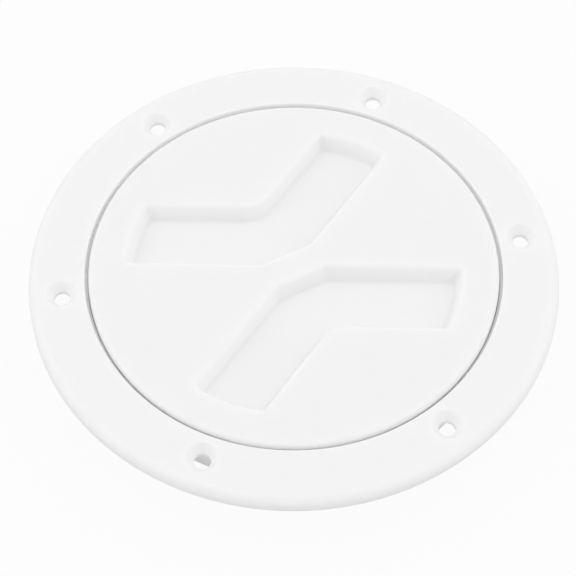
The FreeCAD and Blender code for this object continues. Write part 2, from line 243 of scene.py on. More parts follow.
class LidSizes(bpy.types.PropertyGroup):
    """Sizes of the screw lid."""

    radius: FloatProperty(
        name="Radius", description="Middle of the lid to its rim", default=LID_HIGH.x, unit="LENGTH",
    )
    edge_round: FloatProperty(
        name="Edge round", description="Rounding of the lid's upper edge", default=1.2 * MM, unit="LENGTH",
    )
    lower_edge_round: FloatProperty(
        name="Lower edge round", description="Rounding of the lid's lower edge",
        default=0.3 * MM, unit="LENGTH",
    )
    land_radius: FloatProperty(
        name="Land radius", description="Radius of the land inside the seal",
        default=52.4 * MM, unit="LENGTH",
    )
    land_foot: FloatProperty(
        name="Land foot", description="Height of the land's lower end",
        default=LEDGE + 0.3 * MM, unit="LENGTH",
    )
    skirt_radius: FloatProperty(
        name="Skirt radius", description="Outside of the skirt, without the thread",
        default=50.7 * MM, unit="LENGTH",
    )
    skirt_wall: FloatProperty(
        name="Skirt wall", description="Thickness of the skirt", default=2.4 * MM, unit="LENGTH",
    )
    skirt_foot: FloatProperty(
        name="Skirt foot", description="Height of the skirt's lower end",
        default=LID_LOW.z, unit="LENGTH",
    )
    skirt_foot_round: FloatProperty(
        name="Skirt foot round", description="Lead-in at the skirt's lower edge",
        default=0.6 * MM, unit="LENGTH",
    )
    corner_round: FloatProperty(
        name="Corner round", description="Rounding of the land's edges and corners",
        default=0.2 * MM, unit="LENGTH",
    )
    rib_thickness: FloatProperty(
        name="Rib thickness", description="Thickness of a rib under the disc",
        default=1.8 * MM, unit="LENGTH",
    )
    rib_depth: FloatProperty(
        name="Rib depth", description="How far a rib stands under the disc",
        default=3.2 * MM, unit="LENGTH",
    )
    rib_bite: FloatProperty(
        name="Rib bite", description="How far a rib's end reaches into the skirt",
        default=0.8 * MM, unit="LENGTH",
    )


class RecessSizes(bpy.types.PropertyGroup):
    """Sizes of the two V-shaped finger recesses."""

    bearing: FloatProperty(
        name="Bearing", description="Middle of the first recess, turned from the first screw hole",
        default=math.radians(108.7), subtype="ANGLE",
    )
    half_angle: FloatProperty(
        name="Half angle", description="Half the spread between a recess's two arms",
        default=math.radians(61.5), subtype="ANGLE",
    )
    facet: FloatProperty(
        name="Facet", description="Middle of the lid to the flat between the arms",
        default=4.1 * MM, unit="LENGTH",
    )
    width: FloatProperty(
        name="Width", description="Width of an arm at the lid's face", default=19.1 * MM, unit="LENGTH",
    )
    reach: FloatProperty(
        name="Reach", description="Middle of the lid to the end of an arm",
        default=45.2 * MM, unit="LENGTH",
    )
    depth: FloatProperty(
        name="Depth", description="Lid's face to a recess's floor", default=5.0 * MM, unit="LENGTH",
    )
    draft: FloatProperty(
        name="Draft", description="Lean of a recess's walls", default=math.radians(17), subtype="ANGLE",
    )
    inner_round: FloatProperty(
        name="Inner round", description="Rounding of the lid's corner between the arms",
        default=7.0 * MM, unit="LENGTH",
    )
    bend_round: FloatProperty(
        name="Bend round", description="Rounding of the two corners beside the flat",
        default=5.0 * MM, unit="LENGTH",
    )
    corner_round: FloatProperty(
        name="Corner round", description="Rounding of the corners at the arms' ends",
        default=1.6 * MM, unit="LENGTH",
    )
    edge_round: FloatProperty(
        name="Edge round", description="Rounding of a recess's upper edge",
        default=1.5 * MM, unit="LENGTH",
    )
    floor_round: FloatProperty(
        name="Floor round", description="Rounding at the foot of a recess's walls",
        default=1.2 * MM, unit="LENGTH",
    )
    pocket_wall: FloatProperty(
        name="Pocket wall", description="Recess's upper edge to the outside of its pocket",
        default=1.4 * MM, unit="LENGTH",
    )
    pocket_floor: FloatProperty(
        name="Pocket floor", description="Thickness under a recess's floor",
        default=2.4 * MM, unit="LENGTH",
    )


class SealSizes(bpy.types.PropertyGroup):
    """Sizes of the O-ring."""

    section: FloatProperty(
        name="Section", description="Thickness of the O-ring",
        default=SEAL_HIGH.z - SEAL_LOW.z, unit="LENGTH",
    )
    outside: FloatProperty(
        name="Outside radius", description="Middle of the plate to the O-ring's outside",
        default=SEAL_HIGH.x, unit="LENGTH",
    )


class Finishes(bpy.types.PropertyGroup):
    """Colours and surface qualities."""

    plastic_colour: FloatVectorProperty(
        name="Plastic", description="Colour of the moulded plastic",
        default=(0.96, 0.96, 0.955), subtype="COLOR", min=0, max=1,
    )
    plastic_shade: FloatVectorProperty(
        name="Plastic, darker", description="Colour of the faint clouds in the plastic",
        default=(0.95, 0.951, 0.945), subtype="COLOR", min=0, max=1,
    )
    plastic_roughness: FloatProperty(
        name="Plastic roughness", description="Roughness of the moulded plastic", default=0.6, min=0, max=1,
    )
    plastic_bleed: FloatProperty(
        name="Plastic bleed", description="How far light travels inside the plastic", default=1.6 * MM,
        unit="LENGTH",
    )
    cloud_size: FloatProperty(
        name="Cloud size", description="Spacing of the faint clouds in the plastic",
        default=22 * MM, unit="LENGTH",
    )
    patch_size: FloatProperty(
        name="Patch size", description="Spacing of the plastic's rougher and smoother patches",
        default=7 * MM, unit="LENGTH",
    )
    grain_size: FloatProperty(
        name="Grain size", description="Spacing of the fine moulded grain", default=0.5 * MM, unit="LENGTH",
    )
    grain_height: FloatProperty(
        name="Grain height", description="Height of the fine moulded grain",
        default=0.01 * MM, unit="LENGTH",
    )
    grain_strength: FloatProperty(
        name="Grain strength", description="Share of the moulded grain that shows",
        default=0.25, min=0, max=1,
    )
    rubber_colour: FloatVectorProperty(
        name="Rubber", description="Colour of the seal", default=(0.03, 0.03, 0.03),
        subtype="COLOR", min=0, max=1,
    )
    rubber_roughness: FloatProperty(
        name="Rubber roughness", description="Roughness of the seal", default=0.55, min=0, max=1,
    )
    grease_size: FloatProperty(
        name="Grease size", description="Spacing of the patches of grease on the seal",
        default=4 * MM, unit="LENGTH",
    )
    rubber_grain_size: FloatProperty(
        name="Rubber grain size", description="Spacing of the seal's fine grain",
        default=0.3 * MM, unit="LENGTH",
    )
    rubber_grain_height: FloatProperty(
        name="Rubber grain height", description="Height of the seal's fine grain",
        default=0.02 * MM, unit="LENGTH",
    )
    rubber_grain_strength: FloatProperty(
        name="Rubber grain strength", description="Share of the seal's grain that shows",
        default=0.3, min=0, max=1,
    )


class StudioSettings(bpy.types.PropertyGroup):
    """Floor, light and camera."""

    floor_width: FloatProperty(
        name="Floor width", description="Width of the square floor", default=8.0, unit="LENGTH",
    )
    floor_roughness: FloatProperty(
        name="Floor roughness", description="Roughness of the floor", default=0.9, min=0, max=1,
    )
    floor_colour: FloatVectorProperty(
        name="Floor", description="Colour of the floor", default=(0.82, 0.82, 0.82),
        subtype="COLOR", min=0, max=1,
    )
    floor_lift: FloatProperty(
        name="Floor lift", description="Share of plain white in what the camera sees of the floor",
        default=0.92, min=0, max=1, subtype="FACTOR",
    )
    ambient: FloatProperty(
        name="Ambient", description="Strength of the even light from all round", default=0.75, min=0,
    )
    lamp_power: FloatProperty(
        name="Lamp power", description="Power of each of the two soft lamps", default=2.75, min=0,
        unit="POWER",
    )
    lamp_size: FloatProperty(
        name="Lamp size", description="Width of a soft lamp", default=1.4, unit="LENGTH",
    )
    lamp_distance: FloatProperty(
        name="Lamp distance", description="Plate to a soft lamp", default=1.0, unit="LENGTH",
    )
    lamp_elevation: FloatProperty(
        name="Lamp elevation", description="Height of a soft lamp above the horizon",
        default=math.radians(42), subtype="ANGLE",
    )
    lamp_bearing: FloatProperty(
        name="Lamp bearing", description="Turn of a soft lamp from the far side of the view",
        default=math.radians(85), subtype="ANGLE",
    )
    view_bearing: FloatProperty(
        name="View bearing", description="Turn of the view from +Y", default=math.radians(-7.9),
        subtype="ANGLE",
    )
    view_elevation: FloatProperty(
        name="View elevation", description="Height of the camera above the horizon",
        default=math.radians(56.33), subtype="ANGLE",
    )
    view_roll: FloatProperty(
        name="View roll", description="Turn of the picture about the line of sight",
        default=math.radians(-0.59), subtype="ANGLE",
    )
    view_target: FloatVectorProperty(
        name="View target", description="Point in the middle of the picture",
        default=(-2.26 * MM, -4.84 * MM, 0.0), subtype="XYZ", unit="LENGTH",
    )
    view_distance: FloatProperty(
        name="View distance", description="Camera to the point in the middle of the picture",
        default=444.8 * MM, unit="LENGTH",
    )
    lens: FloatProperty(
        name="Lens", description="Focal length in millimetres, for a picture 36 mm wide", default=103.92,
    )


class DeckPlateSettings(bpy.types.PropertyGroup):
    """Everything that a user may change."""

    ring: PointerProperty(type=RingSizes)
    thread: PointerProperty(type=ThreadSizes)
    lid: PointerProperty(type=LidSizes)
    recess: PointerProperty(type=RecessSizes)
    seal: PointerProperty(type=SealSizes)
    finishes: PointerProperty(type=Finishes)
    studio: PointerProperty(type=StudioSettings)


# Surfaces

class Skin:
    """Stretches of surface that are welded into one closed mesh."""

    def __init__(self):
        self.points = []
        self.faces = []
        self.used = 0

    def add(self, points, faces):
        """Adds points and the faces between them, an array with one row of point numbers a face."""
        self.points.append(points.reshape(-1, 3))
        self.faces.append(np.asarray(faces) + self.used)
        self.used += len(self.points[-1])

    def add_grid(self, points, joined=True):
        """Adds a grid of points, row by row, whose last column is joined to the first or not."""
        rows, columns = points.shape[:2]
        number = np.arange(rows * columns).reshape(rows, columns)
        if joined:
            number = np.hstack([number, number[:, :1]])
        quads = np.stack([number[:-1, :-1], number[:-1, 1:], number[1:, 1:], number[1:, :-1]], axis=-1)
        self.add(points, quads.reshape(-1, 4))

    def make(self, name):
        """A smooth-shaded object of the stretches, welded, with its faces outwards."""
        points = np.vstack(self.points)
        sizes = np.concatenate([np.full(len(faces), faces.shape[1]) for faces in self.faces])
        corners = np.concatenate([faces.ravel() for faces in self.faces])
        mesh = bpy.data.meshes.new(name)
        mesh.vertices.add(len(points))
        mesh.vertices.foreach_set("co", points.astype(np.float32).ravel())
        mesh.loops.add(len(corners))
        mesh.loops.foreach_set("vertex_index", corners.astype(np.int32))
        mesh.polygons.add(len(sizes))
        mesh.polygons.foreach_set("loop_start", (np.cumsum(sizes) - sizes).astype(np.int32))
        mesh.update(calc_edges=True)
        work = bmesh.new()
        work.from_mesh(mesh)
        bmesh.ops.remove_doubles(work, verts=work.verts, dist=WELD)
        bmesh.ops.recalc_face_normals(work, faces=work.faces)
        work.to_mesh(mesh)
        work.free()
        mesh.shade_smooth()
        mesh.set_sharp_from_angle(angle=SHARP_ANGLE)
        piece = bpy.data.objects.new(name, mesh)
        bpy.context.scene.collection.objects.link(piece)
        return piece


def rounded_profile(corners):
    """A profile in two coordinates, with arcs at its corners, from rows of (across, up, round).

    At a corner where the profile turns by an angle, an arc of radius q starts q * tan(angle / 2)
    before the corner. Its points are the arc's middle plus q times the sine of even steps along the
    way in, less q times their cosine across it. A short flat stretch stays on each side of an arc,
    so that a flat face beside it shades flat.
    """
    places = [np.array(corner[:2], float) for corner in corners]
    points = [places[0][None]]
    for before, here, after, (_, _, size) in zip(places, places[1:], places[2:], corners[1:]):
        if size == 0:
            points.append(here[None])
            continue
        way_in = (here - before) / np.linalg.norm(here - before)
        way_out = (after - here) / np.linalg.norm(after - here)
        angle = np.arccos(np.clip(way_in @ way_out, -1, 1))
        across = way_out - way_in * (way_in @ way_out)
        across /= np.linalg.norm(across)
        setback = size * np.tan(angle / 2)
        middle = here - way_in * setback + across * size
        step = np.linspace(0, angle, ARC_STEPS + 1)[:, None]
        arc = middle + size * (np.sin(step) * way_in - np.cos(step) * across)
        points += [(arc[0] - way_in * SUPPORT)[None], arc, (arc[-1] + way_out * SUPPORT)[None]]
    points.append(places[-1][None])
    return np.vstack(points)


def turned(profile, middle=(0, 0), count=AROUND):
    """A profile of (radius, height) carried round an upright axis.

    Each of its points gives a circle: the middle plus the radius times the cosine and sine of even
    bearings.
    """
    bearing = np.arange(count) * (2 * np.pi / count)
    radius, height = profile[:, :1], profile[:, 1:]
    x = middle[0] + radius * np.cos(bearing)
    y = middle[1] + radius * np.sin(bearing)
    return np.stack([x, y, np.broadcast_to(height, x.shape)], axis=-1)


def circle(radius, height, middle=(0, 0), count=AROUND):
    """A level circle about a middle."""
    return turned(np.array([[radius, height]]), middle, count)[0]


def divided(loops):
    """Cuts the inside of closed level loops into triangles.

    Returns the flat points, the triangles and, for each triangle, which of the loops it lies inside.
    The plane is cut in millimetres, along every loop.
    """
    ends = np.cumsum([len(loop) for loop in loops])
    starts = ends - [len(loop) for loop in loops]
    outlines = [list(range(start, end)) for start, end in zip(starts, ends)]
    flat = np.vstack(loops)[:, :2] / MM
    points, _, triangles, _, _, owners = delaunay_2d_cdt(flat.tolist(), [], outlines, 1, CUT_PRECISION)
    inside = np.array([[number in owner for number in range(len(loops))] for owner in owners])
    return np.array([point[:] for point in points]) * MM, np.array(triangles), inside


def add_level_face(skin, outline, holes, height):
    """Adds the level face inside an outline and outside its holes."""
    points, triangles, inside = divided([outline, *holes])
    kept = triangles[~inside[:, 1:].any(axis=1)]
    skin.add(np.column_stack([points, np.full(len(points), height)]), kept)


def add_terraces(skin, base, base_height, hollow, hollow_height, blocks):
    """Adds an underside of level faces with upright walls between them.

    The base is a level face with a hollow in it, and in the hollow stand blocks, each an outline and
    the height of its lower face. A triangle of the plane takes the lowest height of what covers it.
    Where two triangles differ in height, the edge between them carries a wall, cut at every height
    between them.
    """
    points, triangles, inside = divided([base, hollow, *[outline for outline, _ in blocks]])
    heights = np.array([hollow_height, *[height for _, height in blocks]])
    covered = np.where(inside[:, 1:], heights, np.inf).min(axis=1)
    height = np.where(inside[:, 1], covered, base_height)
    for level in np.unique(height):
        skin.add(np.column_stack([points, np.full(len(points), level)]), triangles[height == level])

    edges = np.concatenate([triangles[:, [0, 1]], triangles[:, [1, 2]], triangles[:, [2, 0]]])
    owner = np.tile(np.arange(len(triangles)), 3)
    order = np.lexsort((edges.max(axis=1), edges.min(axis=1)))
    edges, owner = np.sort(edges[order], axis=1), owner[order]
    shared = np.flatnonzero((edges[1:] == edges[:-1]).all(axis=1))
    wall = edges[shared]
    sides = height[np.stack([owner[shared], owner[shared + 1]])]
    levels = np.unique(height)
    for low, high in zip(levels, levels[1:]):
        between = wall[(sides.min(axis=0) <= low) & (sides.max(axis=0) >= high)]
        foot = np.column_stack([points, np.full(len(points), low)])
        head = np.column_stack([points, np.full(len(points), high)])
        quads = np.column_stack([between, between[:, ::-1] + len(points)])
        skin.add(np.vstack([foot, head]), quads)


def ridge_half_heights(thread):
    """Half the height of a ridge's section at its crest and at its foot on the wall.

    Two ridges half a turn apart mesh with equal play: the crest's half height is a quarter of the
    pitch, less half the play, less half of what the flank leans over the depth that the two ridges
    share. The foot's is the crest's plus what the flank leans over the whole depth.
    """
    lean = math.tan(thread.flank_angle)
    crest = thread.pitch / 4 - thread.play / 2 - lean * (thread.depth - thread.gap) / 2
    return crest, crest + lean * thread.depth


def threaded_wall(thread, wall, side, low, high, bearing):
    """An upright round wall with a helical ridge on it, as a grid whose rows follow the helix.

    A point's height is the ridge's height at its bearing plus its row's step, held between the
    wall's low and high ends. Its radius is the wall's radius plus side times the ridge's height
    above the wall: the thread's depth times a trapezoid of the step, which fades out along the
    helix at the ridge's two ends and near the wall's ends. A row ends one turn on, where the
    same row of the next coil up begins, so the grid's first and last columns weld.
    """
    crest, foot = ridge_half_heights(thread)
    edge = thread.edge
    knots = np.array([crest - edge, crest + edge, foot - edge, foot + edge])
    bare_wall = foot + 3 * edge
    half = np.concatenate([[0], knots, [bare_wall, thread.pitch / 2]])
    block = np.concatenate([-half[::-1], half[1:-1]])

    # Whole coils, from below the wall's low end to above its high end at every bearing
    first = math.floor((low - thread.start) / thread.pitch - 1.5)
    last = math.ceil((high - thread.start) / thread.pitch + 0.5)
    climb = np.repeat(np.arange(first, last + 1), len(block))[:, None]
    step = np.tile(block, last + 1 - first)[:, None]
    turn = np.linspace(0, 1, AROUND + 1)[None]

    height = thread.start + thread.pitch * (climb + turn) + step
    height = np.clip(height, low, high)
    on_flank = (foot - knots[1:3]) / (foot - crest)
    section = np.interp(np.abs(step), knots, [1, *on_flank, 0])
    run = thread.run_out / (2 * np.pi * wall)
    ends = eased((climb + turn) / run) * eased((thread.turns - climb - turn) / run)
    clear = eased((height - low) / thread.lead_in) * eased((high - height) / thread.lead_in)
    radius = wall + side * thread.depth * section * ends * clear
    angle = bearing + 2 * np.pi * turn
    return np.stack([radius * np.cos(angle), radius * np.sin(angle), height], axis=-1)


def eased(share):
    """A share held between 0 and 1, with level ends: three squares less two cubes."""
    share = np.clip(share, 0, 1)
    return share**2 * (3 - 2 * share)


def chevron(recess, spread, corner, turn=0):
    """A closed V-shaped outline with two arms, grown on every side by a spread.

    The right arm is worked out from distances along it and offsets across it, and the left arm is
    its mirror. The inner lines run from a flat across the middle out to an arc about the lid's
    middle, and the outer lines come back to a rounded corner between the arms. Each corner is an
    arc that touches the two stretches beside it: its middle lies on both of them moved inwards by
    its radius.
    """
    half = recess.half_angle
    flat = recess.facet - spread
    inner = -spread
    outer = recess.width + spread
    reach = recess.reach + spread
    inside_round = recess.inner_round - spread
    bend_round = recess.bend_round + spread

    def on_arm(along, offset):
        x = along * math.sin(half) - offset * math.cos(half)
        y = along * math.cos(half) + offset * math.sin(half)
        return np.array([x, y])

    def arc(middle, radius, start, end, count):
        angle = np.linspace(start, end, count)
        return middle + radius * np.column_stack([np.cos(angle), np.sin(angle)])

    def line(start, end, count):
        return start + (end - start) * np.linspace(0, 1, count)[:, None]

    def bearing_of(point):
        return math.atan2(point[1], point[0])

    near = inner + corner
    far = outer - corner
    bent = inner + bend_round
    flat_corner = on_arm((flat + bend_round - bent * math.sin(half)) / math.cos(half), bent)
    inner_corner = on_arm(math.sqrt((reach - corner) ** 2 - near**2), near)
    outer_corner = on_arm(math.sqrt((reach - corner) ** 2 - far**2), far)
    bend = np.array([0, (outer + inside_round) / math.sin(half)])
    origin = np.zeros(2)
    down = -math.pi / 2
    flat_arc = arc(flat_corner, bend_round, down, -half, FLAT_ARC_POINTS)
    inner_arc = arc(inner_corner, corner, -half, bearing_of(inner_corner), CORNER_POINTS)
    end_arc = arc(origin, reach, bearing_of(inner_corner), bearing_of(outer_corner), END_POINTS)
    outer_arc = arc(outer_corner, corner, bearing_of(outer_corner), math.pi - half, CORNER_POINTS)
    bend_arc = arc(bend, inside_round, -half, down, BEND_POINTS)
    side = np.concatenate([
        line(np.array([0, flat]), flat_arc[0], FLAT_POINTS)[:-1],
        flat_arc[:-1],
        line(flat_arc[-1], inner_arc[0], INNER_LINE_POINTS)[:-1],
        inner_arc[:-1],
        end_arc[:-1],
        outer_arc[:-1],
        line(outer_arc[-1], bend_arc[0], OUTER_LINE_POINTS)[:-1],
        bend_arc,
    ])
    whole = np.concatenate([side, side[-2:0:-1] * [-1, 1]])
    return spun(whole, recess.bearing - math.pi / 2 + turn)


def spun(points, turn):
    """Flat points turned about the middle."""
    cosine, sine = math.cos(turn), math.sin(turn)
    return points @ np.array([[cosine, sine], [-sine, cosine]])


def raised(outline, height):
    """A flat outline at a height."""
    return np.column_stack([outline, np.full(len(outline), height)])


def rectangle(long_half, short_half, turn):
    """A rectangle about the middle, its long side turned from +X."""
    corners = np.array([[-1, -1], [1, -1], [1, 1], [-1, 1]]) * [long_half, short_half]
    return spun(corners, turn)


# Materials

def new_material(name):
    """Returns a new material, its nodes and links, and the Principled shader joined to its output."""
    material = bpy.data.materials.new(name)
    material.use_nodes = True
    nodes = material.node_tree.nodes
    nodes.clear()
    output = nodes.new("ShaderNodeOutputMaterial")
    shader = nodes.new("ShaderNodeBsdfPrincipled")
    material.node_tree.links.new(shader.outputs["BSDF"], output.inputs["Surface"])
    return material, nodes, material.node_tree.links, shader


def noise(nodes, links, place, size, detail):
    """A noise over the object's own coordinates, with features of about a size."""
    texture = nodes.new("ShaderNodeTexNoise")
    texture.inputs["Scale"].default_value = 1 / size
    texture.inputs["Detail"].default_value = detail
    links.new(place.outputs["Object"], texture.inputs["Vector"])
    return texture.outputs["Fac"]


def spread_over(nodes, links, value, low, high):
    """A noise value stretched from the middle range, where most of it lies, to between two values."""
    spread = nodes.new("ShaderNodeMapRange")
    spread.inputs["From Min"].default_value = MIDDLE_RANGE[0]
    spread.inputs["From Max"].default_value = MIDDLE_RANGE[1]
    spread.inputs["To Min"].default_value = low
    spread.inputs["To Max"].default_value = high
    links.new(value, spread.inputs["Value"])
    return spread.outputs["Result"]


def add_grain(nodes, links, place, shader, size, height, strength):
    """Lets a fine grain of a spacing, a height and a strength bend a shader's surface."""
    grain = nodes.new("ShaderNodeBump")
    grain.inputs["Strength"].default_value = strength
    grain.inputs["Distance"].default_value = height
    links.new(noise(nodes, links, place, size, detail=2), grain.inputs["Height"])
    links.new(grain.outputs["Normal"], shader.inputs["Normal"])


def make_plastic(finishes):
    """White moulded plastic: a soft gloss, faint clouds of tone and a very fine grain."""
    material, nodes, links, shader = new_material("white_moulded_plastic")
    place = nodes.new("ShaderNodeTexCoord")
    clouds = nodes.new("ShaderNodeValToRGB")
    tones = (finishes.plastic_shade, finishes.plastic_colour)
    for stop, position, tone in zip(clouds.color_ramp.elements, MIDDLE_RANGE, tones):
        stop.position = position
        stop.color = (*tone, 1)
    links.new(noise(nodes, links, place, finishes.cloud_size, detail=3), clouds.inputs["Fac"])
    links.new(clouds.outputs["Color"], shader.inputs["Base Color"])
    patches = noise(nodes, links, place, finishes.patch_size, detail=4)
    low, high = (finishes.plastic_roughness + change for change in PLASTIC_SPREAD)
    links.new(spread_over(nodes, links, patches, low, high), shader.inputs["Roughness"])
    add_grain(
        nodes, links, place, shader,
        finishes.grain_size, finishes.grain_height, finishes.grain_strength,
    )
    shader.inputs["IOR"].default_value = PLASTIC_IOR
    shader.inputs["Subsurface Weight"].default_value = 1
    shader.inputs["Subsurface Radius"].default_value = (1, 1, 1)
    shader.inputs["Subsurface Scale"].default_value = finishes.plastic_bleed
    return material


def make_rubber(finishes):
    """Black rubber with a fine grain and a thin film of grease in patches."""
    material, nodes, links, shader = new_material("black_seal_rubber")
    place = nodes.new("ShaderNodeTexCoord")
    shader.inputs["Base Color"].default_value = (*finishes.rubber_colour, 1)
    patches = noise(nodes, links, place, finishes.grease_size, detail=3)
    low, high = (finishes.rubber_roughness + change for change in RUBBER_SPREAD)
    links.new(spread_over(nodes, links, patches, low, high), shader.inputs["Roughness"])
    add_grain(
        nodes, links, place, shader,
        finishes.rubber_grain_size, finishes.rubber_grain_height, finishes.rubber_grain_strength,
    )
    shader.inputs["IOR"].default_value = RUBBER_IOR
    return material


def background_rays(nodes, links):
    """One for rays that show the background: those of the camera, of a mirror and through glass."""
    path = nodes.new("ShaderNodeLightPath")
    total = path.outputs["Is Camera Ray"]
    for name in ("Is Glossy Ray", "Is Transmission Ray"):
        larger = nodes.new("ShaderNodeMath")
        larger.operation = "MAXIMUM"
        links.new(total, larger.inputs[0])
        links.new(path.outputs[name], larger.inputs[1])
        total = larger.outputs["Value"]
    return total


def finish_piece(piece, node, material):
    """Dresses a piece, makes it stand for a node and carries it on that node's body."""
    piece.data.materials.append(material)
    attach(piece, node)
    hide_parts(node)


class DECKPLATE_OT_mounting_ring(bpy.types.Operator):
    """Makes the flange with its screw holes, the collar, the seal's ledge and the threaded neck"""

    bl_idname = "deckplate.mounting_ring"
    bl_label = "Mounting Ring"

    def execute(self, context):
        settings = context.scene.deck_plate
        ring, thread = settings.ring, settings.thread
        rim = ring.flange_radius - ring.rim_round - MARGIN
        lower_rim = ring.flange_radius - ring.flange_edge_round - MARGIN
        bore = ring.bore_radius + ring.bore_round + MARGIN
        neck_outside = ring.neck_radius + ring.neck_wall
        collar_foot = DECK - ring.collar_depth
        groove_floor = TOP - ring.groove_depth
        collar = ring.collar_radius + ring.corner_round + MARGIN
        wall_high = LEDGE - ring.corner_round - MARGIN
        wall_low = ring.neck_foot + ring.corner_round + MARGIN

        skin = Skin()
        skin.add_grid(turned(rounded_profile([
            (rim, TOP, 0),
            (ring.flange_radius, TOP, ring.rim_round),
            (ring.flange_radius, DECK, ring.flange_edge_round),
            (lower_rim, DECK, 0),
        ])))
        skin.add_grid(turned(rounded_profile([
            (bore, TOP, 0),
            (ring.bore_radius, TOP, ring.bore_round),
            (ring.bore_radius, groove_floor, ring.groove_corner_round),
            (ring.seal_wall_radius, groove_floor, ring.groove_corner_round),
            (ring.seal_wall_radius, LEDGE, ring.corner_round),
            (ring.neck_radius, LEDGE, ring.corner_round),
            (ring.neck_radius, wall_high, 0),
        ])))
        skin.add_grid(threaded_wall(thread, ring.neck_radius, -1, wall_low, wall_high, 0), joined=False)
        skin.add_grid(turned(rounded_profile([
            (ring.neck_radius, wall_low, 0),
            (ring.neck_radius, ring.neck_foot, ring.corner_round),
            (neck_outside, ring.neck_foot, ring.foot_round),
            (neck_outside, collar_foot, ring.corner_round),
            (ring.collar_radius, collar_foot, ring.corner_round),
            (ring.collar_radius, DECK, ring.corner_round),
            (collar, DECK, 0),
        ])))

        # The cone's depth: what its radius loses, over the tangent of half its angle
        sink = (ring.countersink_radius - ring.hole_radius) / math.tan(ring.countersink_angle / 2)
        mouth = ring.countersink_radius + MARGIN
        exit_radius = ring.hole_radius + ring.hole_edge_round + MARGIN
        hole = rounded_profile([
            (mouth, TOP, 0),
            (ring.countersink_radius, TOP, ring.hole_edge_round),
            (ring.hole_radius, TOP - sink, ring.hole_edge_round),
            (ring.hole_radius, DECK, ring.hole_edge_round),
            (exit_radius, DECK, 0),
        ])
        bearings = np.arange(ring.screw_count) * (2 * np.pi / ring.screw_count)
        middles = ring.screw_circle * np.column_stack([np.cos(bearings), np.sin(bearings)])
        for middle in middles:
            skin.add_grid(turned(hole, middle, HOLE_AROUND))
        for height, outside, inside, opening in (
            (TOP, rim, bore, mouth),
            (DECK, lower_rim, collar, exit_radius),
        ):
            holes = [circle(opening, height, middle, HOLE_AROUND) for middle in middles]
            add_level_face(skin, circle(outside, height), [circle(inside, height), *holes], height)
        finish_piece(
            skin.make("ring_moulding"), "mounting_ring", make_plastic(settings.finishes)
        )
        return {"FINISHED"}


class DECKPLATE_OT_screw_lid(bpy.types.Operator):
    """Makes the flush disc with its finger recesses, the seal's land, the ribs and the threaded skirt"""

    bl_idname = "deckplate.screw_lid"
    bl_label = "Screw Lid"

    def execute(self, context):
        settings = context.scene.deck_plate
        lid, thread, recess = settings.lid, settings.thread, settings.recess
        rim = lid.radius - lid.edge_round - MARGIN
        wall_high = lid.land_foot - lid.corner_round - MARGIN
        wall_low = lid.skirt_foot + lid.skirt_foot_round + MARGIN
        foot = lid.skirt_radius - lid.skirt_foot_round - MARGIN
        skirt_inside = lid.skirt_radius - lid.skirt_wall

        skin = Skin()
        skin.add_grid(turned(rounded_profile([
            (rim, TOP, 0),
            (lid.radius, TOP, lid.edge_round),
            (lid.radius, LID_UNDERSIDE, lid.lower_edge_round),
            (lid.land_radius, LID_UNDERSIDE, lid.corner_round),
            (lid.land_radius, lid.land_foot, lid.corner_round),
            (lid.skirt_radius, lid.land_foot, lid.corner_round),
            (lid.skirt_radius, wall_high, 0),
        ])))
        wall = threaded_wall(thread, lid.skirt_radius, 1, wall_low, wall_high, math.pi)
        skin.add_grid(wall, joined=False)
        skin.add_grid(turned(rounded_profile([
            (lid.skirt_radius, wall_low, 0),
            (lid.skirt_radius, lid.skirt_foot, lid.skirt_foot_round),
            (foot, lid.skirt_foot, 0),
        ])))

        floor = TOP - recess.depth
        lean = recess.depth * math.tan(recess.draft)
        dent = rounded_profile([
            (recess.edge_round + MARGIN, TOP, 0),
            (0, TOP, recess.edge_round),
            (-lean, floor, recess.floor_round),
            (-lean - recess.floor_round - MARGIN, floor, 0),
        ])
        mouths = []
        for turn in (0, math.pi):
            rows = [
                raised(chevron(recess, spread, recess.corner_round + max(spread, 0), turn), height)
                for spread, height in dent
            ]
            mouths.append(rows[0])
            skin.add_grid(np.stack(rows))
            add_level_face(skin, rows[-1], [], floor)
        add_level_face(skin, circle(rim, TOP), mouths, TOP)

        rib_foot = LID_UNDERSIDE - lid.rib_depth
        rib_reach = skirt_inside + lid.rib_bite
        pocket_foot = floor - recess.pocket_floor
        across = recess.bearing - math.pi / 2
        ribs = [
            (rectangle(rib_reach, lid.rib_thickness / 2, across + quarter), rib_foot)
            for quarter in (0, math.pi / 2)
        ]
        spread = recess.pocket_wall
        pockets = [
            (chevron(recess, spread, recess.corner_round + spread, turn), pocket_foot)
            for turn in (0, math.pi)
        ]
        add_terraces(
            skin, circle(foot, lid.skirt_foot)[:, :2], lid.skirt_foot,
            circle(skirt_inside, LID_UNDERSIDE)[:, :2], LID_UNDERSIDE, [*ribs, *pockets],
        )
        finish_piece(
            skin.make("lid_moulding"), "screw_lid", make_plastic(settings.finishes)
        )
        return {"FINISHED"}


class DECKPLATE_OT_seal_ring(bpy.types.Operator):
    """Makes the O-ring between the lid's rim and the ledge"""

    bl_idname = "deckplate.seal_ring"
    bl_label = "Seal Ring"

    def execute(self, context):
        settings = context.scene.deck_plate
        half = settings.seal.section / 2
        middle = settings.seal.outside - half
        height = (SEAL_LOW.z + SEAL_HIGH.z) / 2
        angle = np.linspace(0, 2 * np.pi, 4 * ARC_STEPS + 1)
        section = np.column_stack([middle + half * np.cos(angle), height + half * np.sin(angle)])
        skin = Skin()
        skin.add_grid(turned(section))
        finish_piece(skin.make("seal_o_ring"), "seal_ring", make_rubber(settings.finishes))
        return {"FINISHED"}


